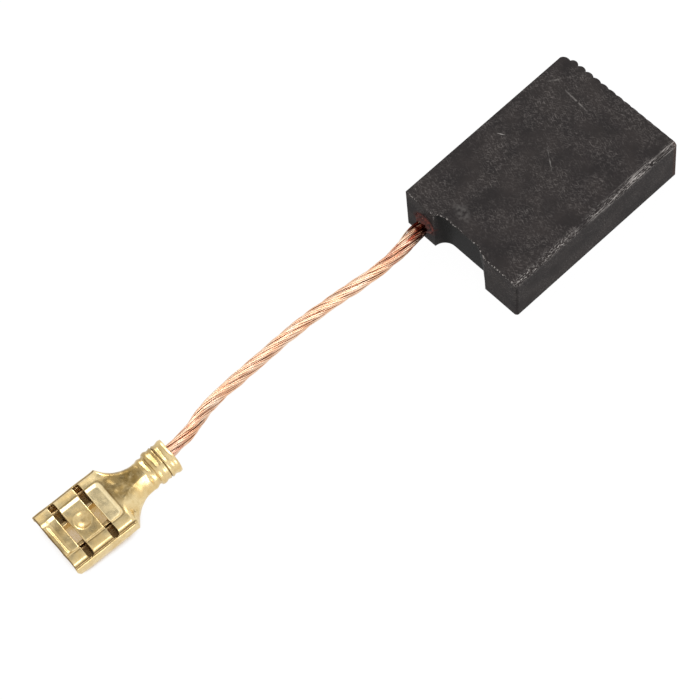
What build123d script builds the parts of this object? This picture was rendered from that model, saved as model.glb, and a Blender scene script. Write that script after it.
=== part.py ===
from build123d import *
import math
import os

# Carbon brush for a portable motor: a graphite block, a copper rope tamped into it and a push-on terminal.
# Millimetres. +Y runs from the spring end to the running face, and +Z is the block's thickness.
# The origin is the middle of the block's lower broad face.

# Block
block_width = 16.0
block_thickness = 6.3
block_length = 23.5
edge_radius = 0.06
upper_edge_radius = 0.45
near_corner_radius = 0.4
far_corner_radius = 0.1

# Rounded ribs across the running face, worn flat towards +X and worn back at the corner on -X
rib_count = 15
rib_depth = 0.38
rib_fade = 4.5
corner_drop = 0.85
corner_wear = 0.35

# Notch for the spring finger, with its floor sloped through the thickness
notch_left = -3.9
notch_right = 3.4
notch_depth_low = 1.38
notch_depth_high = 0.6
notch_curve_width = 1.45
notch_ramp_width = 1.5
notch_overrun = 1.0

# Hole for the rope and the copper powder tamped round it
hole_from_side = 2.65
hole_height = 3.0
hole_diameter = 2.7
hole_depth = 6.5
powder_rim = 0.1
powder_dish = 0.3

# Rope of bare copper strands
rope_diameter = 1.45
rope_clearance = 0.02
rope_embedding = 4.5
rope_lead = 2.25
rope_arc_share = 0.45

# Points of the rope's route past its straight lead, chosen by hand
rope_bends = [
    (-5.6, -21.0, 2.1),
    (-6.8, -28.0, 1.1),
    (-6.85, -35.0, 1.0),
    (-6.7, -41.4, 1.5),
    (-4.8, -46.15, 2.72),
    (-5.25, -51.0, 2.32),
]

# Terminal in its own frame: x across, y from the mouth to the barrel, z up to the flat base
sheet = 0.4
box_width = 7.7
box_length = 7.75
box_height = 2.4
base_bend = 0.5
flange_bend = 0.5
curl_radius = 0.45
lip_gap = 1.9
lip_lean = 0.25
lip_height = 1.2
mouth_rake = 0.5
mouth_rake_height = 1.2

# Two slots across the base, with the sheet between them and beside them pressed in
slot_width = 0.75
slot_front = 1.75
slot_pitch = 3.15
slot_length = 7.2
slot_corner = 0.3
slot_reach = 0.7
press_depth = 0.25
press_width = 4.5
press_draft = 45.0
press_overlap = 0.15
press_border = 0.45
press_corner = 0.6
dimple_diameter = 1.9
dimple_depth = 0.35

# Neck: distance behind the box, width, rise of the crown, corner radius
neck_length = 3.65
neck_sections = [
    (1.1, 4.95, 0.0, 0.75),
    (2.0, 3.85, 0.05, 0.9),
    (2.9, 3.4, 0.12, 1.05),
]
neck_opening = 0.4

# Crimped barrel, with the rope off its middle
barrel_length = 3.4
barrel_width = 3.45
barrel_height = 2.4
barrel_corner = 1.1
barrel_rise = 0.15
bore_shift = -0.25
bead_height = 0.18
bead_start = 0.85
bead_length = 1.15
bead_gap = 0.2
bell_length = 0.5
bell_flare = 0.25
seam_width = 0.7
seam_depth = 0.35
strand_setback = 0.4

# Places that follow from the sizes
half_width = block_width / 2
spring_end = -block_length / 2
running_face = block_length / 2
hole_x = hole_from_side - half_width
bore_radius = rope_diameter / 2 + rope_clearance
base_top = box_height
neck_end = box_length + neck_length
barrel_end = neck_end + barrel_length
barrel_crown = box_height + barrel_rise
barrel_axis = barrel_crown - barrel_height / 2
hole_plane = Plane(origin=(hole_x, spring_end, hole_height), x_dir=(1, 0, 0), z_dir=(0, -1, 0))


# Cross-sections

def notch_profile(height):
    """The notch seen from above, at one height of its sloped floor."""
    depth = notch_depth_low + (notch_depth_high - notch_depth_low) * height / block_thickness
    outside = spring_end - notch_overrun
    start = (notch_left, spring_end)
    corner = (notch_left + notch_curve_width, spring_end + depth)
    ramp = (notch_right - notch_ramp_width, spring_end + depth)
    end = (notch_right, spring_end)
    bulge = math.sin(math.radians(45))
    middle = (notch_left + notch_curve_width * (1 - bulge), spring_end + depth * bulge)
    with BuildSketch(Plane.XY.offset(height)) as profile:
        with BuildLine():
            ThreePointArc(start, middle, corner)
            Polyline(corner, ramp, end, (notch_right, outside), (notch_left, outside), start)
        make_face()
    return profile.sketch


def tube_section(along, width, height, corner, crown):
    """A rounded cross-section of the terminal, hung from its crown."""
    with BuildSketch(Plane.XZ.offset(-along)) as section:
        with Locations((0, crown - height / 2)):
            RectangleRounded(width, height, corner)
    return section.sketch


def neck_skin(inset, depth):
    """Sections of the neck from the box to the barrel, drawn in by inset on the sides and the crown."""
    stations = [(0.0, box_width, 0.0, base_bend + sheet / 2)]
    stations += neck_sections
    stations += [(neck_length, barrel_width, barrel_rise, barrel_corner)]
    return [
        tube_section(box_length + along, width - 2 * inset, depth, corner - inset, base_top + rise - inset)
        for along, width, rise, corner in stations
    ]


# Graphite block: the outline from above, cut to the section with its one rounded upper edge

rib_pitch = block_width / rib_count
valleys = [
    (i * rib_pitch - half_width, running_face - rib_depth * math.exp((1 - i) / rib_fade))
    for i in range(1, rib_count + 1)
]
worn_corner = (-half_width, running_face - corner_drop)
worn_crown = (rib_pitch / 2 - half_width, running_face - corner_wear)
with BuildPart() as carbon_block:
    with BuildSketch():
        with BuildLine():
            ThreePointArc(worn_corner, worn_crown, valleys[0])
            for before, after in zip(valleys, valleys[1:]):
                ThreePointArc(before, ((before[0] + after[0]) / 2, running_face), after)
            FilletPolyline(
                valleys[-1],
                (half_width, spring_end),
                (-half_width, spring_end),
                worn_corner,
                radius=[near_corner_radius, far_corner_radius],
            )
        make_face()
    extrude(amount=block_thickness)
    with BuildSketch(Plane.XZ):
        with BuildLine():
            FilletPolyline(
                (-half_width, 0),
                (half_width, 0),
                (half_width, block_thickness),
                (-half_width, block_thickness),
                radius=[edge_radius, edge_radius, upper_edge_radius, edge_radius],
                close=True,
            )
        make_face()
    extrude(amount=block_length, both=True, mode=Mode.INTERSECT)

    notch_ends = [notch_profile(-notch_overrun), notch_profile(block_thickness + notch_overrun)]
    loft(sections=notch_ends, ruled=True, mode=Mode.SUBTRACT)
    with BuildSketch(hole_plane):
        Circle(hole_diameter / 2)
    extrude(amount=-hole_depth, mode=Mode.SUBTRACT)
carbon_block.part.label = "carbon_block"

# Copper powder tamped round the rope, dished towards it

with BuildPart() as tamped_plug:
    with BuildSketch(Plane(origin=hole_plane.origin, x_dir=(1, 0, 0), z_dir=(0, 0, 1))):
        with BuildLine():
            Polyline(
                (0, hole_depth),
                (hole_diameter / 2, hole_depth),
                (hole_diameter / 2, powder_rim),
                (bore_radius, powder_dish),
                (bore_radius, rope_embedding),
                (0, rope_embedding),
                (0, hole_depth),
            )
        make_face()
    revolve(axis=Axis(hole_plane.origin, (0, 1, 0)))
tamped_plug.part.label = "tamped_plug"

# Rope: straight out of the plug, then runs joined by the widest arcs that they allow

rope_start = Vector(hole_x, spring_end + rope_embedding, hole_height)
rope_turn_in = Vector(hole_x, spring_end - rope_lead, hole_height)
rope_points = [rope_start, rope_turn_in] + [Vector(*point) for point in rope_bends]
rope_runs = [after - before for before, after in zip(rope_points, rope_points[1:])]
rope_radii = [
    rope_arc_share * min(run.length, after.length) / math.tan(math.radians(run.get_angle(after) / 2))
    for run, after in zip(rope_runs, rope_runs[1:])
]
with BuildPart() as copper_shunt:
    with BuildLine() as route:
        FilletPolyline(*rope_points, radius=rope_radii)
    with BuildSketch(Plane(origin=rope_start, x_dir=(1, 0, 0), z_dir=(0, -1, 0))):
        Circle(rope_diameter / 2)
    sweep(path=route.line)
copper_shunt.part.label = "copper_shunt"
route_length = sum(edge.length for edge in route.edges())
print("rope runs", [round(run.length, 2) for run in rope_runs])
print("rope radii", [round(radius, 1) for radius in rope_radii])
print("rope length", round(route_length, 2), "volume", round(copper_shunt.part.volume, 3))
print("section times length", round(math.pi * (rope_diameter / 2) ** 2 * route_length, 3))

# Brass receptacle, folded and crimped from one sheet

with BuildPart() as receptacle_terminal:
    # Box: flat base, side walls and flanges rolled in until their lips stand up inside
    side = (box_width - sheet) / 2
    lip_foot = (lip_gap + sheet) / 2
    lip_tip = lip_foot + lip_lean
    with BuildSketch(Plane.XZ):
        with BuildLine():
            FilletPolyline(
                (-lip_tip, lip_height),
                (-lip_foot, sheet / 2),
                (-side, sheet / 2),
                (-side, base_top - sheet / 2),
                (side, base_top - sheet / 2),
                (side, sheet / 2),
                (lip_foot, sheet / 2),
                (lip_tip, lip_height),
                radius=[curl_radius, flange_bend, base_bend, base_bend, flange_bend, curl_radius],
            )
        trace(line_width=sheet)
    extrude(amount=-box_length)

    # Mouth raked back below the base
    with BuildSketch(Plane.YZ):
        with BuildLine():
            Polyline((0, mouth_rake_height), (mouth_rake, 0), (0, 0), (0, mouth_rake_height))
        make_face()
    extrude(amount=box_width, both=True, mode=Mode.SUBTRACT)

    # Field pressed in between the borders of the base, which the slots then divide in three
    slot_rear = slot_front + slot_pitch
    field_length = box_length - 2 * press_border
    with BuildSketch(Plane.XY.offset(base_top - sheet)):
        with Locations((0, box_length / 2)):
            RectangleRounded(press_width + 2 * press_overlap, field_length + 2 * press_overlap, press_corner)
    extrude(amount=-press_depth)
    bridge_middle = (slot_front + slot_width + slot_rear) / 2

    # Dimple in the middle field, raised underneath to catch the hole in a tab
    dimple_radius = ((dimple_diameter / 2) ** 2 + dimple_depth**2) / (2 * dimple_depth)
    dimple_centre = base_top - press_depth - dimple_depth + dimple_radius
    outer_radius = dimple_radius + sheet
    bridge_under = base_top - press_depth - sheet
    rim = math.sqrt(outer_radius**2 - (dimple_centre - bridge_under) ** 2)
    half_turn = math.asin(rim / outer_radius) / 2
    bulge = (outer_radius * math.sin(half_turn), dimple_centre - outer_radius * math.cos(half_turn))
    with BuildSketch(Plane.XZ.offset(-bridge_middle)):
        with BuildLine():
            ThreePointArc((0, dimple_centre - outer_radius), bulge, (rim, bridge_under))
            Polyline(
                (rim, bridge_under),
                (rim, bridge_under + sheet / 2),
                (0, bridge_under + sheet / 2),
                (0, dimple_centre - outer_radius),
            )
        make_face()
    revolve(axis=Axis((0, bridge_middle, 0), (0, 0, 1)))
    with Locations((0, bridge_middle, dimple_centre)):
        Sphere(dimple_radius, mode=Mode.SUBTRACT)
    with BuildSketch(Plane.XY.offset(base_top)):
        with Locations((0, box_length / 2)):
            RectangleRounded(press_width, field_length, press_corner)
    extrude(amount=-press_depth, taper=press_draft, mode=Mode.SUBTRACT)

    # Slots across the base, out to the folds
    with BuildSketch(Plane.XY.offset(base_top)):
        for start in (slot_front, slot_rear):
            with Locations((0, start + slot_width / 2)):
                RectangleRounded(slot_length, slot_width, slot_corner)
    extrude(amount=-slot_reach, mode=Mode.SUBTRACT)

    # Neck: a trough that narrows to the barrel, open below
    loft(sections=neck_skin(0, box_height))
    loft(sections=neck_skin(sheet, 2 * box_height), mode=Mode.SUBTRACT)
    with Locations((0, box_length + neck_length / 2, 0)):
        Box(2 * box_width, neck_length, 2 * neck_opening, mode=Mode.SUBTRACT)

    # Barrel with two swelled beads and a bore for the rope
    with BuildSketch(Plane.XZ.offset(-neck_end)):
        with Locations((0, barrel_axis)):
            RectangleRounded(barrel_width, barrel_height, barrel_corner)
    extrude(amount=-barrel_length)
    second_bead = bead_start + bead_length + bead_gap
    for start, length in ((bead_start, bead_length), (second_bead, barrel_length - second_bead)):
        with BuildSketch(Plane.XZ.offset(-neck_end - start)):
            with Locations((0, barrel_axis)):
                RectangleRounded(
                    barrel_width + 2 * bead_height,
                    barrel_height + 2 * bead_height,
                    barrel_corner + bead_height,
                )
        extrude(amount=-length)
    with BuildSketch(Plane.XZ.offset(-neck_end)):
        with Locations((bore_shift, barrel_axis)):
            Circle(bore_radius)
    extrude(amount=-barrel_length, mode=Mode.SUBTRACT)

    # Bell mouth round the rope, and the seam below where the two wings meet
    with BuildSketch(Plane.XZ.offset(-barrel_end)):
        with Locations((bore_shift, barrel_axis)):
            Circle(bore_radius + bell_flare)
    with BuildSketch(Plane.XZ.offset(bell_length - barrel_end)):
        with Locations((bore_shift, barrel_axis)):
            Circle(bore_radius)
    loft(mode=Mode.SUBTRACT)
    seam_bottom = barrel_axis - barrel_height / 2 - bead_height
    with BuildSketch(Plane.XZ.offset(-neck_end)):
        with BuildLine():
            Polyline(
                (-seam_width / 2, seam_bottom),
                (0, seam_bottom + seam_depth),
                (seam_width / 2, seam_bottom),
                (-seam_width / 2, seam_bottom),
            )
        make_face()
    extrude(amount=-barrel_length, mode=Mode.SUBTRACT)

# The terminal hangs on the rope's last run, so its seat follows the rope's last two points

rope_end = rope_points[-1]
along = (rope_points[-2] - rope_end).normalized()
across = along.cross(Vector(0, 0, 1)).normalized()
upward = across.cross(along)
seat_origin = rope_end - across * bore_shift - along * (neck_end + strand_setback) - upward * barrel_axis
terminal_seat = Plane(origin=seat_origin, x_dir=across, z_dir=upward)
receptacle_terminal.part = receptacle_terminal.part.moved(terminal_seat.location)
receptacle_terminal.part.label = "receptacle_terminal"
print("terminal seat", seat_origin, "lowest", round(receptacle_terminal.part.bounding_box().min.Z, 3))

os.makedirs("parts", exist_ok=True)
for piece in (carbon_block, tamped_plug, copper_shunt, receptacle_terminal):
    print(piece.part.label, len(piece.part.solids()), round(piece.part.volume, 3), piece.part.is_valid)
export_step(carbon_block.part, "parts/carbon_block.step")
export_step(tamped_plug.part, "parts/tamped_plug.step")
export_step(copper_shunt.part, "parts/copper_shunt.step")
export_step(receptacle_terminal.part, "parts/receptacle_terminal.step")
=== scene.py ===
import math

import bmesh
import bpy
from mathutils import Matrix, Vector, noise


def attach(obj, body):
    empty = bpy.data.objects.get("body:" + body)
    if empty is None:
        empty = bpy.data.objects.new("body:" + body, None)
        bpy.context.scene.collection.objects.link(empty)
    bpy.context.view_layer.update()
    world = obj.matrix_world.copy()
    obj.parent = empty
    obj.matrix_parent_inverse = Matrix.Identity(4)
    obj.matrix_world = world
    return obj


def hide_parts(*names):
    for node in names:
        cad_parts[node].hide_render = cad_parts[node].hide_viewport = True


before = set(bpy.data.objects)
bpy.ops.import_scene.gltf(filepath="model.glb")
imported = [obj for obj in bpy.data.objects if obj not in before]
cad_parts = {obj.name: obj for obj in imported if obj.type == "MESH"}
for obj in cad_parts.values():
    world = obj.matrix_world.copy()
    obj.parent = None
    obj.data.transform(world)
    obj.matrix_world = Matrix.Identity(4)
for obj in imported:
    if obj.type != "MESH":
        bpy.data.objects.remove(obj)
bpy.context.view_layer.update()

# Sizes and places are in millimetres, turned to metres where Blender needs them
MM = 0.001

# Camera, from the fit of the block's edges to the photograph, with its angles in degrees
PICTURE = 700
SENSOR = 36.0
VIEW_AZIMUTH = 52.51
VIEW_ELEVATION = 61.95
VIEW_ROLL = -7.29
VIEW_DISTANCE = 350.0
PIXELS_PER_MM = 9.66
SIGHTED_POINT = Vector((0.0, -11.75, 0.0))
SIGHTED_PIXEL = (462.0, 268.8)
NEAREST_SEEN = 10.0

# Remeshing of a node: reach within which its corners are joined, and how far each round softens it
JOINING_REACH = 0.001
SOFTENING = 0.5

# Rope's route, the tube's points moved to the photograph where the rope leaves the block
ROUTE = [
    (-5.35, -7.25, 3.0),
    (-5.35, -12.4, 3.0),
    (-5.05, -15.6, 2.35),
    (-5.15, -18.6, 2.05),
    (-5.85, -22.8, 1.75),
    (-6.8, -28.0, 1.1),
    (-6.85, -35.0, 1.0),
    (-6.7, -41.4, 1.5),
    (-4.8, -46.15, 2.72),
    (-5.25, -51.0, 2.32),
]
ROPE_DIAMETER = 1.45
ROPE_EXIT = (-5.35, -11.75, 3.0)

# Rope's bundles and wires. The real wires are too fine to show, so fewer and thicker ones are drawn
BUNDLES = 6
BUNDLE_RADIUS = 0.25
ROPE_LAY = 16.5
WIRES = 6
WIRE_RADIUS = 0.083
WIRE_LAY = 30.0
CORE_RADIUS = 0.33

# Loose place of the rope near the block: its share, its middle along the rope and its reach
SPLAY = 0.28
SPLAY_PLACE = 6.2
SPLAY_REACH = 2.4

# Unevenness of the rope, with wave lengths along it: shares of a ring's radius, and turns in radians
SWAY = 0.1
SWAY_WAVE = 5
DRIFT_TURN = 0.35
DRIFT_WAVE = 7
STRAY = 0.15
STRAY_TURN = 0.3
STRAY_WAVE = 3

# Block, with the hole's middle across and up
HALF_WIDTH = 8.0
THICKNESS = 6.3
SPRING_END = -11.75
HOLE = (-5.35, 3.0)

# Powder's open face: depth that crumbles, height and rate of its crumbs, and its heap round the rope
POWDER_VOXEL = 0.07
CRUMBLY_DEPTH = 0.6
COARSE_CRUMBS = 0.25
COARSE_RATE = 2.2
FINE_CRUMBS = 0.12
FINE_RATE = 6.5
HEAP_HEIGHT = 0.75
HEAP_RING = 0.7
HEAP_SPREAD = 0.45

# Terminal's seat, from its mouth's middle on the floor to the rope's end in the barrel
BORE_SHIFT = -0.25
BARREL_AXIS = 1.35
BARREL_REACH = 11.8
BASE_TOP = 2.4
TERMINAL_VOXEL = 0.075

# Forms that the tools leave on the strip. A pair gives where a form is absent, and where it is whole
UPPER_SKIN = (0.8, 2.1)
OFF_THE_BOX = (7.45, 7.95)
BORDER_START = 2.3
BORDER_WIDTH = 1.2
BORDER_FALL = 0.16
FOLD_PLACE = 3.6
FOLD_REACH = 0.15
FOLD_DEPTH = 0.2
MOUTH_ALONG = (0.95, 0.4)
MOUTH_ACROSS = (2.3, 1.9)
MOUTH_FALL = 0.25
ON_THE_NECK = (7.35, 8.35)
BEFORE_THE_BARREL = (12.1, 11.2)
WAIST = 10.65
WAIST_HALF_WIDTH = 1.7
FLARE_LENGTH = 2.9
FLARE = 2.15
FLARE_POWER = 2.2
FLARE_SLOPE = 1.63
RIGHT_SHOULDER_WIDTH = 1.25
RIGHT_SHOULDER_DEPTH = 0.85
LEFT_SHOULDER_WIDTH = 0.5
LEFT_SHOULDER_DEPTH = 0.2
ON_THE_BARREL = (11.1, 11.6)
RIDGE_HEIGHT = 0.06
RIDGE_PITCH = 0.95
RIDGE_WAVER = 0.12
WAVER_SIZE = 1.25
WAVE_HEIGHT = 0.05
WAVE_SIZE = 2.0
DENT_HEIGHT = 0.008
NECK_DENT_HEIGHT = 0.02
DENT_SIZE = 0.625

# Scratches on the upper face: start, end, width and strength
SCRATCHES = (
    ((-5.3, 8.45), (-1.0, 8.1), 0.24, 0.17),
    ((-1.5, 2.35), (1.3, 0.3), 0.16, 0.22),
    ((-6.9, 7.8), (-6.0, 9.2), 0.3, 0.17),
    ((-6.3, -0.3), (-5.3, 0.25), 0.16, 0.38),
    ((-3.6, -9.0), (-0.4, -9.9), 1.8, 0.07),
)

# Darker spots on the brass, in the terminal's seat: across, along, inner and outer reach, and strength
DARKER_SPOTS = (
    (-0.6, 8.9, 1.5, 2.2, 0.75),
    (-0.5, 10.4, 0.7, 1.4, 0.75),
    (-0.9, 12.8, 0.9, 2.1, 0.65),
    (0.3, 1.0, 1.2, 2.4, 0.4),
    (0.7, 4.0, 1.2, 2.0, 0.45),
)

# Lines of the terminal that carry painted shade and painted highlights: the folds, and the pressed field's
# wall
FOLD_LINE = 3.62
FIELD_SIDE = 2.12
FIELD_REAR = 7.17
FIELD_CORNER = 0.9
FIELD_RIM = 0.27

# Light tent
FLOOR_REACH = 95.0
FLOOR_MIDDLE = (0, -25, -0.01)
FLOOR_SEEN = 0.93
FLOOR_GLOW = 1.04
DIM_WAY = (-0.387, 0.14, 0.912)
LAMP_AIM = (0, -20, 0)
LAMP_SIZE = 260


# Camera

def place_camera():
    """The photograph's camera, a long lens that looks down at the block."""
    azimuth, elevation, roll = (math.radians(a) for a in (VIEW_AZIMUTH, VIEW_ELEVATION, VIEW_ROLL))
    forward = Vector(
        (
            -math.sin(azimuth) * math.cos(elevation),
            math.cos(azimuth) * math.cos(elevation),
            -math.sin(elevation),
        )
    )
    level = Vector((math.cos(azimuth), math.sin(azimuth), 0))
    upright = level.cross(forward)
    right = math.cos(roll) * level + math.sin(roll) * upright
    up = math.cos(roll) * upright - math.sin(roll) * level
    aside = (SIGHTED_PIXEL[0] - PICTURE / 2) / PIXELS_PER_MM
    above = (PICTURE / 2 - SIGHTED_PIXEL[1]) / PIXELS_PER_MM
    place = SIGHTED_POINT - aside * right - above * up - VIEW_DISTANCE * forward
    data = bpy.data.cameras.new("photograph")
    data.sensor_fit = "HORIZONTAL"
    data.sensor_width = SENSOR
    data.lens = PIXELS_PER_MM * VIEW_DISTANCE / PICTURE * SENSOR
    data.clip_start = NEAREST_SEEN * MM
    camera = bpy.data.objects.new("photograph", data)
    turn = Matrix((right, up, -forward)).transposed().to_4x4()
    camera.matrix_world = Matrix.Translation(place * MM) @ turn
    bpy.context.collection.objects.link(camera)
    bpy.context.scene.camera = camera


place_camera()


# Pieces

def finished_piece(name, mesh, node_name):
    """A smooth-shaded piece that stands for one node of the frame."""
    mesh.name = name
    for polygon in mesh.polygons:
        polygon.use_smooth = True
    piece = bpy.data.objects.new(name, mesh)
    bpy.context.collection.objects.link(piece)
    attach(piece, "root")
    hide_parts(node_name)
    return piece


def remeshed_copy(node_name, to_local, voxel, rounds):
    """A node's shape in a local frame in millimetres, remeshed evenly with its edges softened."""
    shape = bmesh.new()
    shape.from_mesh(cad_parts[node_name].data)
    bmesh.ops.remove_doubles(shape, verts=shape.verts, dist=JOINING_REACH * MM)
    bmesh.ops.transform(shape, matrix=to_local, verts=shape.verts)
    mesh = bpy.data.meshes.new(node_name)
    shape.to_mesh(mesh)
    shape.free()
    blank = bpy.data.objects.new("blank", mesh)
    bpy.context.collection.objects.link(blank)
    remesh = blank.modifiers.new("remesh", "REMESH")
    remesh.mode = "VOXEL"
    remesh.voxel_size = voxel
    soften = blank.modifiers.new("soften", "SMOOTH")
    soften.factor = SOFTENING
    soften.iterations = rounds
    evaluated = blank.evaluated_get(bpy.context.evaluated_depsgraph_get())
    finished = bpy.data.meshes.new_from_object(evaluated)
    bpy.data.objects.remove(blank)
    return finished


# Shunt

def rope_line():
    """Points of the rope's smooth middle line, read from its spline, in metres."""
    curve = bpy.data.curves.new("rope_line", "CURVE")
    curve.dimensions = "3D"
    curve.resolution_u = 20
    spline = curve.splines.new("NURBS")
    spline.points.add(len(ROUTE) - 1)
    for control, point in zip(spline.points, ROUTE):
        control.co = (*(Vector(point) * MM), 1)
    spline.order_u = 3
    spline.use_endpoint_u = True
    carrier = bpy.data.objects.new("rope_line", curve)
    line = bpy.data.meshes.new_from_object(carrier)
    points = [vertex.co.copy() for vertex in line.vertices]
    bpy.data.objects.remove(carrier)
    return points


def carried_frames(points):
    """A frame at each point of the line, carried along it without twist: place, two sides and distance."""
    frames = []
    travelled = 0.0
    side = Vector((0, 0, 1))
    for i, point in enumerate(points):
        before = points[max(i - 1, 0)]
        after = points[min(i + 1, len(points) - 1)]
        tangent = (after - before).normalized()
        side = (side - side.dot(tangent) * tangent).normalized()
        travelled += (point - before).length
        frames.append((point, side, tangent.cross(side), travelled))
    return frames


def twisted_rope():
    """The shunt: bundles of fine copper wires twisted round each other, loose where they leave the block."""
    points = rope_line()
    frames = carried_frames(points)
    curve = bpy.data.curves.new("rope_wires", "CURVE")
    curve.dimensions = "3D"
    curve.bevel_depth = WIRE_RADIUS * MM
    curve.bevel_resolution = 1
    curve.use_fill_caps = True
    bundle_ring = ROPE_DIAMETER / 2 - BUNDLE_RADIUS
    wire_ring = BUNDLE_RADIUS - WIRE_RADIUS

    def lay_wire(bundle, wire, ring, own, thickness):
        """Lays one wire along the rope's line, at its own ring within its bundle's ring."""
        spline = curve.splines.new("POLY")
        spline.points.add(len(frames) - 1)
        for control, (place, side, across, travelled) in zip(spline.points, frames):
            reached = travelled / MM

            # Odd steps set the noise of each bundle and wire apart from its neighbour's
            sway = noise.noise(Vector((reached / SWAY_WAVE, 3.1 * bundle, 7.7)))
            drift = noise.noise(Vector((reached / DRIFT_WAVE, 5.3 * bundle, 1.9)))
            stray = noise.noise(Vector((reached / STRAY_WAVE, 1.7 * bundle, 2.3 * wire)))
            splay = 1 + SPLAY * math.exp(-(((reached - SPLAY_PLACE) / SPLAY_REACH) ** 2))
            turn = 2 * math.pi * (reached / ROPE_LAY + bundle / BUNDLES) + DRIFT_TURN * drift
            twist = 2 * math.pi * (reached / WIRE_LAY + wire / WIRES) + STRAY_TURN * stray
            bundle_reach = ring * splay * (1 + SWAY * sway)
            wire_reach = own * (1 + STRAY * stray) * (1 + (splay - 1) / 2)
            outward = bundle_reach * math.cos(turn) + wire_reach * math.cos(turn + twist)
            sideways = bundle_reach * math.sin(turn) + wire_reach * math.sin(turn + twist)
            control.co = (*(place + (outward * side + sideways * across) * MM), 1)
            control.radius = thickness

    for bundle in range(BUNDLES):
        for wire in range(WIRES):
            lay_wire(bundle, wire, bundle_ring, wire_ring, 1.0)
        lay_wire(bundle, WIRES, bundle_ring, 0.0, 1.0)
    lay_wire(BUNDLES, WIRES, 0.0, 0.0, CORE_RADIUS / WIRE_RADIUS)
    carrier = bpy.data.objects.new("rope_wires", curve)
    mesh = bpy.data.meshes.new_from_object(carrier)
    bpy.data.objects.remove(carrier)
    return finished_piece("twisted_rope", mesh, "copper_shunt"), points


# Terminal

def terminal_seat():
    """The terminal's own frame: x across, y from the mouth to the barrel, z up to its flat base."""
    end = Vector(ROUTE[-1])
    along = (Vector(ROUTE[-2]) - end).normalized()
    across = along.cross(Vector((0, 0, 1))).normalized()
    upward = across.cross(along)
    origin = end - BORE_SHIFT * across - BARREL_REACH * along - BARREL_AXIS * upward
    return Matrix.Translation(origin) @ Matrix((across, along, upward)).transposed().to_4x4()


def smooth_step(value, absent, whole):
    """A share that rises smoothly from 0 where a form is absent to 1 where it is whole."""
    share = min(max((value - absent) / (whole - absent), 0), 1)
    return share * share * (3 - 2 * share)


def pressed_spot(spot, normal):
    """Where a point of the terminal ends up once its strip is bent, drawn and crimped."""
    side = abs(spot.x)

    # Flat base: crowned borders, creases along the folds, and a lower border over the mouth
    upper = smooth_step(spot.z, *UPPER_SKIN)
    on_box = 1 - smooth_step(spot.y, *OFF_THE_BOX)
    crown = BORDER_FALL * min(max((side - BORDER_START) / BORDER_WIDTH, 0), 1) ** 2
    crease = FOLD_DEPTH * math.exp(-(((side - FOLD_PLACE) / FOLD_REACH) ** 2))
    over_mouth = smooth_step(spot.y, *MOUTH_ALONG) * smooth_step(side, *MOUTH_ACROSS)
    base_fall = upper * (on_box * (crown + crease) + MOUTH_FALL * over_mouth)

    # Neck: a shoulder drawn down on each side, square to its curved edge
    flaring = max((WAIST - spot.y) / FLARE_LENGTH, 0)
    half_width = WAIST_HALF_WIDTH + FLARE * flaring**FLARE_POWER
    square_on = 1 / math.hypot(1, FLARE_SLOPE * flaring ** (FLARE_POWER - 1))
    on_neck = smooth_step(spot.y, *ON_THE_NECK) * smooth_step(spot.y, *BEFORE_THE_BARREL)
    width = RIGHT_SHOULDER_WIDTH if spot.x > 0 else LEFT_SHOULDER_WIDTH
    depth = RIGHT_SHOULDER_DEPTH if spot.x > 0 else LEFT_SHOULDER_DEPTH
    flank = min(max((side - half_width) * square_on / width + 1, 0), 1)
    neck_fall = on_neck * depth * flank * spot.z / BASE_TOP

    # Barrel: ridges of the die, and the small waves and dents of handling all over
    on_barrel = smooth_step(spot.y, *ON_THE_BARREL)
    waver = RIDGE_WAVER * noise.noise(spot / WAVER_SIZE)
    ridge = RIDGE_HEIGHT * on_barrel * math.sin(2 * math.pi * (spot.y / RIDGE_PITCH + waver))
    wave = WAVE_HEIGHT * noise.noise(spot / WAVE_SIZE)
    dent = (DENT_HEIGHT + NECK_DENT_HEIGHT * on_neck) * noise.noise(spot / DENT_SIZE)
    return spot + normal * (ridge + wave + dent) - Vector((0, 0, base_fall + neck_fall))


def stamped_terminal():
    """The receptacle with softened edges, crowned borders, a drawn shoulder and a ridged barrel."""
    to_seat = terminal_seat().inverted() @ Matrix.Scale(1 / MM, 4)
    mesh = remeshed_copy("receptacle_terminal", to_seat, TERMINAL_VOXEL, 2)
    normals = [vertex.normal.copy() for vertex in mesh.vertices]
    for vertex, normal in zip(mesh.vertices, normals):
        vertex.co = pressed_spot(vertex.co, normal)
    mesh.transform(to_seat.inverted())
    return finished_piece("stamped_terminal", mesh, "receptacle_terminal")


def crumbled_powder():
    """The powder in the hole, its open face heaped and crumbly round the rope."""
    hole_x, hole_z = HOLE
    to_hole = Matrix.Translation((-hole_x, -SPRING_END, -hole_z)) @ Matrix.Scale(1 / MM, 4)
    mesh = remeshed_copy("tamped_plug", to_hole, POWDER_VOXEL, 1)
    for vertex in mesh.vertices:
        spot = vertex.co
        if spot.y < CRUMBLY_DEPTH:
            coarse = COARSE_CRUMBS * noise.noise(spot * COARSE_RATE)
            fine = FINE_CRUMBS * noise.noise(spot * FINE_RATE)
            reach = Vector((spot.x, spot.z)).length
            heap = HEAP_HEIGHT * math.exp(-(((reach - HEAP_RING) / HEAP_SPREAD) ** 2))
            vertex.co = spot + Vector((0, coarse + fine - heap, 0))
    mesh.transform(to_hole.inverted())
    return finished_piece("crumbled_powder", mesh, "tamped_plug")


rope, rope_points = twisted_rope()
terminal = stamped_terminal()
powder = crumbled_powder()


# Materials

COLOUR_A, COLOUR_B, COLOUR_OUT = 6, 7, 2


def linear(code):
    """An sRGB hex colour as linear RGBA."""
    channels = [int(code[i : i + 2], 16) / 255 for i in (1, 3, 5)]
    return [c / 12.92 if c <= 0.04045 else ((c + 0.055) / 1.055) ** 2.4 for c in channels] + [1.0]


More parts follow.
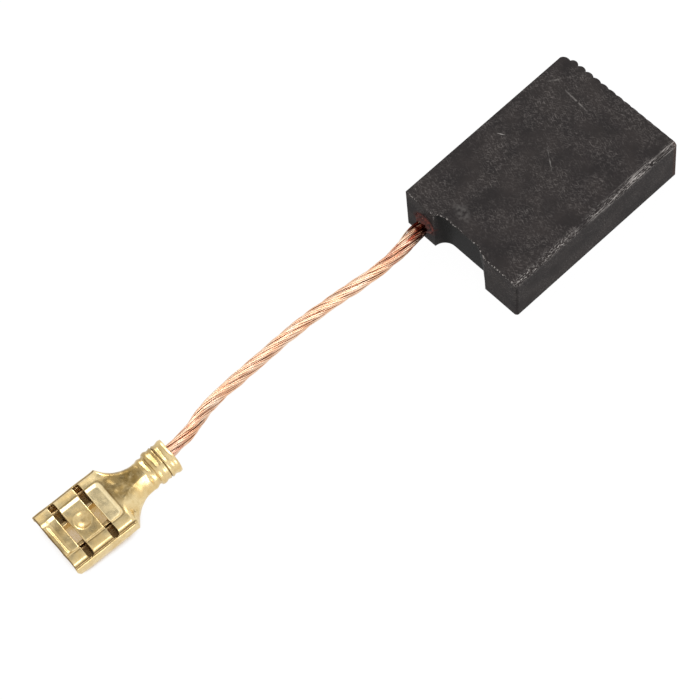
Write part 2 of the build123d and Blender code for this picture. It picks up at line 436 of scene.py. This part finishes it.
def add_node(tree, kind, inputs=(), output=0, **settings):
    """Adds a node and gives one of its outputs. Inputs pair a socket with a value or an output to link."""
    made = tree.nodes.new("ShaderNode" + kind)
    for name, value in settings.items():
        setattr(made, name, value)
    for socket, value in dict(inputs).items():
        if isinstance(value, bpy.types.NodeSocket):
            tree.links.new(value, made.inputs[socket])
        else:
            made.inputs[socket].default_value = value
    return made.outputs[output]


def new_material(name):
    """An empty material, its node tree and its shader."""
    material = bpy.data.materials.new(name)
    material.use_nodes = True
    return material, material.node_tree, material.node_tree.nodes["Principled BSDF"]


def laid_on(tree, body, colour, *masks, strength=1.0):
    """A colour laid on a finish, as strongly as all the masks let it. Both are hex codes or outputs."""
    share = masks[0]
    for mask in masks[1:]:
        share = add_node(tree, "Math", {0: share, 1: mask}, operation="MULTIPLY")
    if strength < 1:
        share = add_node(tree, "Math", {0: share, 1: strength}, operation="MULTIPLY")
    under, over = (linear(c) if isinstance(c, str) else c for c in (body, colour))
    return add_node(tree, "Mix", {0: share, COLOUR_A: under, COLOUR_B: over}, COLOUR_OUT, data_type="RGBA")


def grain(tree, place, size, low, high, detail=4.0, stretch=(1, 1, 1)):
    """A mask of noise whose features have this size, 0 where it is low and 1 where it is high."""
    drawn = add_node(tree, "Mapping", {"Vector": place, "Scale": stretch})
    cloud = add_node(tree, "TexNoise", {"Vector": drawn, "Scale": 1 / (size * MM), "Detail": detail})
    return add_node(tree, "MapRange", {"Value": cloud, "From Min": low, "From Max": high})


def round_spot(tree, place, point, inner, outer, across=(1, 1, 1)):
    """A mask round a point, whole within the inner reach. A 0 in across makes the point a line that way."""
    centre = [p * MM for p in point]
    offset = add_node(tree, "VectorMath", {0: place, 1: centre}, operation="SUBTRACT")
    offset = add_node(tree, "VectorMath", {0: offset, 1: across}, operation="MULTIPLY")
    distance = add_node(tree, "VectorMath", {0: offset}, "Value", operation="LENGTH")
    return add_node(tree, "MapRange", {"Value": distance, "From Min": outer * MM, "From Max": inner * MM})


def line_at(tree, reach, middle, inner, outer):
    """A mask for the line where a reach has this size, whole within the inner width on either side."""
    off_line = add_node(tree, "Math", {0: reach, 1: middle * MM}, operation="SUBTRACT")
    off_line = add_node(tree, "Math", {0: off_line}, operation="ABSOLUTE")
    return add_node(tree, "MapRange", {"Value": off_line, "From Min": outer * MM, "From Max": inner * MM})


def scratch(tree, place, start, end, width):
    """A mask for a scratch on the upper face, soft at both ends."""
    start = Vector((*start, THICKNESS))
    end = Vector((*end, THICKNESS))
    run = end - start
    turn = -math.atan2(run.y, run.x)
    shrink = (2 / (run.length * MM), 2 / (width * MM), 1 / MM)
    moved = add_node(tree, "VectorMath", {0: place, 1: (start + end) / 2 * MM}, operation="SUBTRACT")
    turned = add_node(tree, "Mapping", {"Vector": moved, "Rotation": (0, 0, turn)})
    shrunk = add_node(tree, "VectorMath", {0: turned, 1: shrink}, operation="MULTIPLY")
    distance = add_node(tree, "VectorMath", {0: shrunk}, "Value", operation="LENGTH")
    return add_node(tree, "MapRange", {"Value": distance, "From Min": 1.0, "From Max": 0.4})


def sharp_edges(tree, width):
    """A mask for sharp edges, where the rounded normal leaves the true one."""
    rounded = add_node(tree, "Bevel", {"Radius": width * MM})
    true = add_node(tree, "NewGeometry", output="Normal")
    alike = add_node(tree, "VectorMath", {0: rounded, 1: true}, "Value", operation="DOT_PRODUCT")
    return add_node(tree, "MapRange", {"Value": alike, "From Min": 0.98, "From Max": 0.85})


def hairlines(tree, place, turn):
    """A mask of fine short polishing marks on the broad faces, turned from the X axis."""
    turned = add_node(tree, "Mapping", {"Vector": place, "Rotation": (0, 0, turn)})
    return grain(tree, turned, size=0.09, low=0.58, high=0.72, detail=2.0, stretch=(0.12, 1, 1))


def sintered_graphite():
    """Pressed and sintered carbon graphite: matt dark grey, finely flecked, with worn edges and scratches,
    painted highlights along the upper edges, and painted shade in the recesses and on the notch's floor.
    """
    material, tree, shader = new_material("sintered_graphite")
    place = add_node(tree, "TexCoord", output="Object")
    along = add_node(tree, "SeparateXYZ", {0: place}, "Y")
    patches = grain(tree, place, size=2.5, low=0.3, high=0.6, detail=2.0)

    # Flecks and polishing marks, drawn coarser than the real ones, which are too fine to show
    body = laid_on(tree, "#232020", "#2C2827", grain(tree, place, size=3.0, low=0.35, high=0.65))
    flecks = grain(tree, place, size=0.2, low=0.52, high=0.75, detail=3.0)
    flecks = add_node(tree, "Math", {0: flecks, 1: 0.5}, operation="MULTIPLY")
    falling = hairlines(tree, place, 0.35)
    rising = hairlines(tree, place, -0.5)
    marks = add_node(tree, "Math", {0: falling, 1: rising}, operation="MAXIMUM")
    pale = add_node(tree, "Math", {0: marks, 1: 0.8, 2: flecks}, operation="MULTIPLY_ADD", use_clamp=True)
    body = laid_on(tree, body, "#77716E", pale, patches, strength=0.5)

    # Painted shade in the recesses, from ambient occlusion, and on the notch's floor, which faces the spring
    # end
    open_air = add_node(tree, "AmbientOcclusion", {"Distance": 2.5 * MM}, "AO", samples=8, only_local=True)
    recess_shade = add_node(tree, "MapRange", {"Value": open_air, "From Min": 1.0, "From Max": 0.7})
    body = laid_on(tree, body, "#0C0A09", recess_shade)
    facing = add_node(tree, "SeparateXYZ", {0: add_node(tree, "NewGeometry", output="Normal")}, "Y")
    behind_end = add_node(tree, "MapRange", {"Value": along, "From Min": -11.7 * MM, "From Max": -11.5 * MM})
    to_spring = add_node(tree, "MapRange", {"Value": facing, "From Min": -0.3, "From Max": -0.8})
    body = laid_on(tree, body, "#0B0908", behind_end, to_spring)

    # Rounded upper edge, rubbed along its length and lightened by a painted highlight of the rounding
    edge = (HALF_WIDTH - 0.1, 0, THICKNESS - 0.1)
    rubbed = round_spot(tree, place, edge, inner=0.1, outer=0.75, across=(1, 0, 1))
    long_streaks = grain(tree, place, size=0.12, low=0.54, high=0.66, detail=1.0, stretch=(1, 0.05, 1))
    short_streaks = grain(tree, place, size=0.1, low=0.52, high=0.72, detail=3.0, stretch=(1, 0.3, 1))
    toward_run = {"Value": along, "From Min": -5 * MM, "From Max": 3 * MM, "To Max": 0.8}
    far_half = add_node(tree, "MapRange", toward_run)
    streaks = add_node(tree, "Math", {0: long_streaks, 1: far_half}, operation="MULTIPLY")
    streaks = add_node(
        tree, "Math", {0: short_streaks, 1: 0.9, 2: streaks}, operation="MULTIPLY_ADD", use_clamp=True
    )
    body = laid_on(tree, body, "#B4AEAA", rubbed, streaks, patches)

    # Chips along the spring end's upper edge, lightened there by a painted highlight of the edge, and the
    # scratches of handling
    upper_end = round_spot(tree, place, (0, SPRING_END, THICKNESS), inner=0.9, outer=1.1, across=(0, 1, 1))
    edge_chips_and_glint = grain(tree, place, size=0.3, low=0.52, high=0.6, detail=2.0)
    struck = grain(tree, place, size=1.8, low=0.42, high=0.55, detail=1.0)
    body = laid_on(tree, body, "#A8A29E", sharp_edges(tree, 0.3), edge_chips_and_glint, struck, upper_end)
    broken = grain(tree, place, size=0.4, low=0.35, high=0.6, detail=3.0)
    for start, end, width, strength in SCRATCHES:
        line = scratch(tree, place, start, end, width)
        body = laid_on(tree, body, "#C2BDB8", line, broken, strength=strength)

    # Copper powder rubbed into the face round the hole, and a brown tint on the far corner
    hole_x, hole_z = HOLE
    dusted = round_spot(tree, place, (hole_x, SPRING_END, hole_z), inner=1.3, outer=1.75)
    body = laid_on(tree, body, "#3C1510", dusted, grain(tree, place, size=0.6, low=0.35, high=0.6))
    corner = (HALF_WIDTH, -SPRING_END, 0)
    far_corner = round_spot(tree, place, corner, inner=0.2, outer=0.6, across=(1, 1, 0))
    body = laid_on(tree, body, "#45291F", far_corner, strength=0.4)
    tree.links.new(body, shader.inputs["Base Color"])
    shader.inputs["Roughness"].default_value = 0.62
    shader.inputs["Specular IOR Level"].default_value = 0.06
    pits = add_node(tree, "TexNoise", {"Vector": place, "Scale": 1 / (0.3 * MM), "Detail": 4.0})
    bump = add_node(tree, "Bump", {"Height": pits, "Strength": 0.35, "Distance": 0.03 * MM})
    tree.links.new(bump, shader.inputs["Normal"])
    return material


def tamped_copper_powder():
    """Copper powder tamped hard round the shunt: dark maroon, rough and dull, with rare painted glints of
    bright grains.
    """
    material, tree, shader = new_material("tamped_copper_powder")
    place = add_node(tree, "TexCoord", output="Object")
    body = laid_on(tree, "#200805", "#5A2014", grain(tree, place, size=0.35, low=0.35, high=0.7))
    # Rare light specks: painted glints on bright grains
    body = laid_on(tree, body, "#B87462", grain(tree, place, size=0.3, low=0.66, high=0.74))
    tree.links.new(body, shader.inputs["Base Color"])
    shader.inputs["Roughness"].default_value = 0.8
    return material


def bare_copper_wire():
    """Soft drawn copper wire, bare and pale, with painted red-brown shade between the wires, and stained near
    both ends.
    """
    material, tree, shader = new_material("bare_copper_wire")
    place = add_node(tree, "TexCoord", output="Object")
    body = laid_on(tree, "#F3DBC4", "#EBC09E", grain(tree, place, size=1.8, low=0.35, high=0.7))
    streaks = grain(tree, place, size=0.3, low=0.45, high=0.65, detail=2.0, stretch=(1, 0.08, 1))
    body = laid_on(tree, body, "#E4AC86", streaks, strength=0.6)

    # Shade of the copper between the wires and deep in the rope
    open_air = add_node(tree, "AmbientOcclusion", {"Distance": 0.6 * MM}, "AO", samples=8, only_local=True)
    inner = add_node(tree, "MapRange", {"Value": open_air, "From Min": 0.6, "From Max": 0.35})
    body = laid_on(tree, body, "#DB8A58", inner, strength=0.8)
    deep_shade = add_node(tree, "MapRange", {"Value": open_air, "From Min": 0.36, "From Max": 0.12})
    body = laid_on(tree, body, "#6A2C12", deep_shade)

    # Stain in streaks near the block and, weaker, near the barrel, and powder where the rope leaves the hole
    along = add_node(tree, "SeparateXYZ", {0: place}, "Y")
    near_block = add_node(tree, "MapRange", {"Value": along, "From Min": -19.5 * MM, "From Max": -14.5 * MM})
    toward_barrel = {"Value": along, "From Min": -43 * MM, "From Max": -47 * MM, "To Max": 0.6}
    near_barrel = add_node(tree, "MapRange", toward_barrel)
    near_ends = add_node(tree, "Math", {0: near_block, 1: near_barrel}, operation="MAXIMUM")
    smears = grain(tree, place, size=0.4, low=0.47, high=0.6, detail=2.0, stretch=(1, 0.15, 1))
    body = laid_on(tree, body, "#A8432A", near_ends, smears, strength=0.9)
    powdery = round_spot(tree, place, ROPE_EXIT, inner=1.4, outer=2.8)
    body = laid_on(tree, body, "#3A0F08", powdery, grain(tree, place, size=0.5, low=0.25, high=0.5))
    tree.links.new(body, shader.inputs["Base Color"])
    shader.inputs["Metallic"].default_value = 1.0
    shader.inputs["Roughness"].default_value = 0.32
    return material


def seat_reach(tree, place, axis):
    """How far a place lies along one axis of the terminal's seat, in metres."""
    seat = terminal_seat()
    way = seat.to_3x3().col[axis]
    start = seat.translation.dot(way) * MM
    reach = add_node(tree, "VectorMath", {0: place, 1: way}, "Value", operation="DOT_PRODUCT")
    return add_node(tree, "Math", {0: reach, 1: start}, operation="SUBTRACT")


def stamped_brass():
    """Cold-rolled brass strip, stamped and folded: bright and mottled, with darker spots, painted shade in
    the creases and inside the folds, and painted highlights on the pressed field.
    """
    material, tree, shader = new_material("stamped_brass")
    place = add_node(tree, "TexCoord", output="Object")
    body = laid_on(tree, "#EAD4A2", "#DCC088", grain(tree, place, size=1.6, low=0.35, high=0.65))
    body = laid_on(tree, body, "#B59A5E", grain(tree, place, size=0.4, low=0.5, high=0.75), strength=0.35)
    # Darker spots laid on the brass
    for spot_across, spot_along, inner, outer, strength in DARKER_SPOTS:
        point = terminal_seat() @ Vector((spot_across, spot_along, BASE_TOP))
        spot = round_spot(tree, place, point, inner, outer)
        cloudy = grain(tree, place, size=0.5, low=0.2, high=0.5)
        body = laid_on(tree, body, "#8F7440", spot, cloudy, strength=strength)

    # Painted shade in the creases, from ambient occlusion, and painted dark lines of shade along the folds
    # and on the mouth's edge
    open_air = add_node(tree, "AmbientOcclusion", {"Distance": 0.4 * MM}, "AO", samples=8, only_local=True)
    crease_shade = add_node(tree, "MapRange", {"Value": open_air, "From Min": 0.88, "From Max": 0.6})
    body = laid_on(tree, body, "#5F4418", crease_shade, strength=0.85)
    across, along, height = (seat_reach(tree, place, axis) for axis in range(3))
    off_middle = add_node(tree, "Math", {0: across}, operation="ABSOLUTE")
    fold = line_at(tree, off_middle, FOLD_LINE, inner=0.1, outer=0.18)
    mouth = add_node(tree, "MapRange", {"Value": along, "From Min": 0.16 * MM, "From Max": 0.08 * MM})
    fold_and_mouth_shade = add_node(tree, "Math", {0: fold, 1: mouth}, operation="MAXIMUM")
    on_box = add_node(tree, "MapRange", {"Value": along, "From Min": 7.9 * MM, "From Max": 7.6 * MM})
    on_top = add_node(tree, "MapRange", {"Value": height, "From Min": 1.7 * MM, "From Max": 1.9 * MM})
    body = laid_on(tree, body, "#573B14", fold_and_mouth_shade, on_box, on_top, strength=0.85)

    # Pressed field: a painted highlight on its rear part, a painted dark rim of shade round it, and a painted
    # highlight on its wall
    off_side = add_node(tree, "Math", {0: off_middle, 1: FIELD_SIDE * MM}, operation="SUBTRACT")
    off_rear = add_node(tree, "Math", {0: along, 1: FIELD_REAR * MM}, operation="SUBTRACT")
    corner = {0: off_side, 1: off_rear, 2: FIELD_CORNER * MM}
    off_wall = add_node(tree, "Math", corner, operation="SMOOTH_MAX")
    in_field = add_node(tree, "MapRange", {"Value": off_wall, "From Min": 0.05 * MM, "From Max": -0.1 * MM})
    in_rear = add_node(tree, "MapRange", {"Value": along, "From Min": 4.8 * MM, "From Max": 5.1 * MM})
    body = laid_on(tree, body, "#F8E6B8", in_field, in_rear, on_top, strength=0.6)
    behind_mouth = add_node(tree, "MapRange", {"Value": along, "From Min": 0.6 * MM, "From Max": 1.1 * MM})
    rim_shade = line_at(tree, off_wall, FIELD_RIM, inner=0.04, outer=0.12)
    uneven = grain(tree, place, size=0.8, low=0.2, high=0.5)
    body = laid_on(tree, body, "#6B4D1C", rim_shade, uneven, on_top, behind_mouth, strength=0.55)
    wall_highlight = line_at(tree, off_wall, 0, inner=0.08, outer=0.2)
    body = laid_on(tree, body, "#FFEFC4", wall_highlight, on_top, behind_mouth, strength=0.7)

    # Painted shade inside the folds, where little light reaches
    open_air = add_node(tree, "AmbientOcclusion", {"Distance": 2.2 * MM}, "AO", samples=8, only_local=True)
    deep_shade = add_node(tree, "MapRange", {"Value": open_air, "From Min": 0.6, "From Max": 0.3})
    body = laid_on(tree, body, "#5E380A", deep_shade)
    tree.links.new(body, shader.inputs["Base Color"])
    shader.inputs["Metallic"].default_value = 1.0
    rubbed = grain(tree, place, size=0.8, low=0.3, high=0.7)
    dull = add_node(tree, "MapRange", {"Value": rubbed, "To Min": 0.22, "To Max": 0.38})
    tree.links.new(dull, shader.inputs["Roughness"])
    dents = add_node(tree, "TexNoise", {"Vector": place, "Scale": 1 / (0.9 * MM), "Detail": 3.0})
    bump = add_node(tree, "Bump", {"Height": dents, "Strength": 0.25, "Distance": 0.05 * MM})
    tree.links.new(bump, shader.inputs["Normal"])
    return material


def dress(piece, material):
    """Gives a piece one material."""
    piece.data.materials.clear()
    piece.data.materials.append(material)


graphite = sintered_graphite()
for material_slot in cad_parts["carbon_block"].material_slots:
    material_slot.material = graphite
dress(powder, tamped_copper_powder())
dress(rope, bare_copper_wire())
dress(terminal, stamped_brass())


# Floor and light

def shown_white(tree):
    """Two factors: 1 for the camera's own rays, and 1 for those that mirrors and glass send on as well."""
    camera = add_node(tree, "LightPath", output="Is Camera Ray")
    glossy = add_node(tree, "LightPath", output="Is Glossy Ray")
    through = add_node(tree, "LightPath", output="Is Transmission Ray")
    sent_on = add_node(tree, "Math", {0: glossy, 1: through}, operation="MAXIMUM")
    return camera, add_node(tree, "Math", {0: camera, 1: sent_on}, operation="MAXIMUM")


def white_floor():
    """A white sheet that keeps the object's shadow, with a painted brown shadow in its glow under the
    terminal.
    """
    sheet = bmesh.new()
    bmesh.ops.create_grid(sheet, x_segments=1, y_segments=1, size=FLOOR_REACH * MM)
    mesh = bpy.data.meshes.new("floor")
    sheet.to_mesh(mesh)
    sheet.free()
    mesh.transform(Matrix.Translation(Vector(FLOOR_MIDDLE) * MM))
    floor = bpy.data.objects.new("floor", mesh)
    bpy.context.collection.objects.link(floor)
    material, tree, shader = new_material("white_sheet")
    shader.inputs["Base Color"].default_value = linear("#C8C8C8")
    shader.inputs["Roughness"].default_value = 0.9
    place = add_node(tree, "TexCoord", output="Object")
    # Painted shadow under the terminal's box, in the glow, tinted brown as painted light bounced off the
    # brass
    box_middle = terminal_seat() @ Vector((0, 4, 0))
    under_box = round_spot(tree, place, box_middle, inner=4.5, outer=5.5)
    open_air = add_node(tree, "AmbientOcclusion", {"Distance": 5 * MM}, "AO", samples=8)
    closed = add_node(tree, "MapRange", {"Value": open_air, "From Min": 0.42, "From Max": 0.3})
    colour = laid_on(tree, "#FFFFFF", "#B8965A", under_box, closed)
    glow = add_node(tree, "Emission", {"Color": colour, "Strength": FLOOR_GLOW})
    _, white_rays = shown_white(tree)
    seen = add_node(tree, "Math", {0: white_rays, 1: FLOOR_SEEN}, operation="MULTIPLY")
    mixed = add_node(tree, "MixShader", {0: seen, 1: shader.outputs[0], 2: glow})
    tree.links.new(mixed, tree.nodes["Material Output"].inputs["Surface"])
    mesh.materials.append(material)


def tent_light():
    """A light tent, white to the camera: dark at the horizon, bright above, one dim panel overhead."""
    world = bpy.data.worlds.new("tent")
    bpy.context.scene.world = world
    world.use_nodes = True
    tree = world.node_tree
    camera_rays, white_rays = shown_white(tree)
    way = add_node(tree, "TexCoord", output="Generated")
    height = add_node(tree, "SeparateXYZ", {0: way}, "Z")
    rise = {"Value": height, "From Min": 0.0, "From Max": 0.13, "To Min": 0.12, "To Max": 1.05}
    walls = add_node(tree, "MapRange", rise, interpolation_type="SMOOTHSTEP")
    walls = add_node(tree, "Mix", {0: white_rays, 2: walls, 3: 1.0})
    toward_dim = add_node(tree, "VectorMath", {0: way, 1: DIM_WAY}, "Value", operation="DOT_PRODUCT")
    fall = {"Value": toward_dim, "From Min": 0.92, "From Max": 0.998, "To Min": 1.0, "To Max": 0.33}
    panel = add_node(tree, "MapRange", fall, interpolation_type="SMOOTHSTEP")
    glow = add_node(tree, "Math", {0: walls, 1: panel}, operation="MULTIPLY")
    strength = add_node(tree, "Mix", {0: camera_rays, 2: glow, 3: 1.0})
    background = tree.nodes["Background"]
    background.inputs["Color"].default_value = (1, 1, 1, 1)
    tree.links.new(strength, background.inputs["Strength"])


def soft_lamp(name, place, watts):
    """A square soft box at a place, turned to the rope."""
    data = bpy.data.lights.new(name, "AREA")
    data.shape = "SQUARE"
    data.size = LAMP_SIZE * MM
    data.energy = watts
    lamp = bpy.data.objects.new(name, data)
    place = Vector(place) * MM
    way = Vector(LAMP_AIM) * MM - place
    lamp.matrix_world = Matrix.Translation(place) @ way.to_track_quat("-Z", "Y").to_matrix().to_4x4()
    bpy.context.collection.objects.link(lamp)


white_floor()
tent_light()
soft_lamp("key_lamp", (-350, 250, 420), watts=1.6)
soft_lamp("fill_lamp", (380, -150, 300), watts=0.9)
bpy.context.scene.view_settings.view_transform = "Standard"
